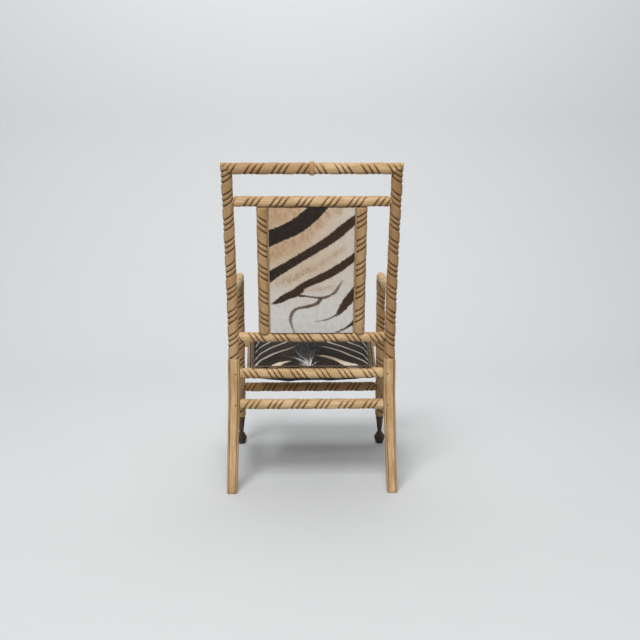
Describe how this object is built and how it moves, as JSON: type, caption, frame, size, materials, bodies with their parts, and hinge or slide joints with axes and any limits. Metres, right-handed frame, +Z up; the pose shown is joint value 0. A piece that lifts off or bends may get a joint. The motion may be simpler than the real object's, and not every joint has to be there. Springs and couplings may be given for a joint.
{
  "type": "armchair",
  "caption": "Wooden armchair of round sticks carved as twisted rope, with a raked hide-covered back panel, a padded hide seat on webbing and front feet carved as a claw gripping a ball.",
  "frame": {"origin": "on the floor, below the middle of the box round the chair", "axes": "+Z is up, +Y is the way the sitter looks, +X is the sitter's right; the back faces -Y"},
  "size_m": [0.5356, 0.647, 1.0228],
  "materials": {
    "carved_wood": "satin golden brown, darker in the carved grooves",
    "plain_board": "raw sawn board",
    "dark_turning": "dark brown satin stain",
    "peg_wood": "dark end grain",
    "pale_hide": "short hair, cream with dark stripes",
    "dark_hide": "short hair, near black with cream stripes",
    "gimp_braid": "matt woven braid",
    "stuffing_fibre": "loose curled fibre",
    "webbing_jute": "coarse plain weave",
    "black_cloth": "thin matt black cloth"
  },
  "bodies": {
    "root": {"arm_dowel_left": "peg_wood", "arm_dowel_right": "peg_wood", "arm_left": "carved_wood", "arm_right": "carved_wood", "back_hide_front": "pale_hide", "back_hide_rear": "pale_hide", "back_padding_front": "stuffing_fibre", "back_panel_board": "plain_board", "back_stile_left": "carved_wood", "back_stile_right": "carved_wood", "back_wadding_rear": "stuffing_fibre", "crest_dowel_left": "peg_wood", "crest_dowel_right": "peg_wood", "crest_rail": "carved_wood", "front_foot_left": "dark_turning", "front_foot_right": "dark_turning", "front_post_left": "carved_wood", "front_post_right": "carved_wood", "lower_back_rail": "carved_wood", "rear_post_left": "carved_wood", "rear_post_right": "carved_wood", "seat_dust_cover": "black_cloth", "seat_gimp": "gimp_braid", "seat_hide": "dark_hide", "seat_rail_front": "carved_wood", "seat_rail_left": "carved_wood", "seat_rail_rear": "carved_wood", "seat_rail_rear_peg_left": "peg_wood", "seat_rail_rear_peg_right": "peg_wood", "seat_rail_right": "carved_wood", "seat_stuffing": "stuffing_fibre", "stretcher_front": "carved_wood", "stretcher_left": "carved_wood", "stretcher_rear": "carved_wood", "stretcher_rear_peg_left": "peg_wood", "stretcher_rear_peg_right": "peg_wood", "stretcher_right": "carved_wood", "upper_back_rail": "carved_wood", "web_strap_cross_1": "webbing_jute", "web_strap_cross_2": "webbing_jute", "web_strap_cross_3": "webbing_jute", "web_strap_cross_4": "webbing_jute", "web_strap_long_1": "webbing_jute", "web_strap_long_2": "webbing_jute", "web_strap_long_3": "webbing_jute", "web_strap_long_4": "webbing_jute"}
  },
  "joints": []
}
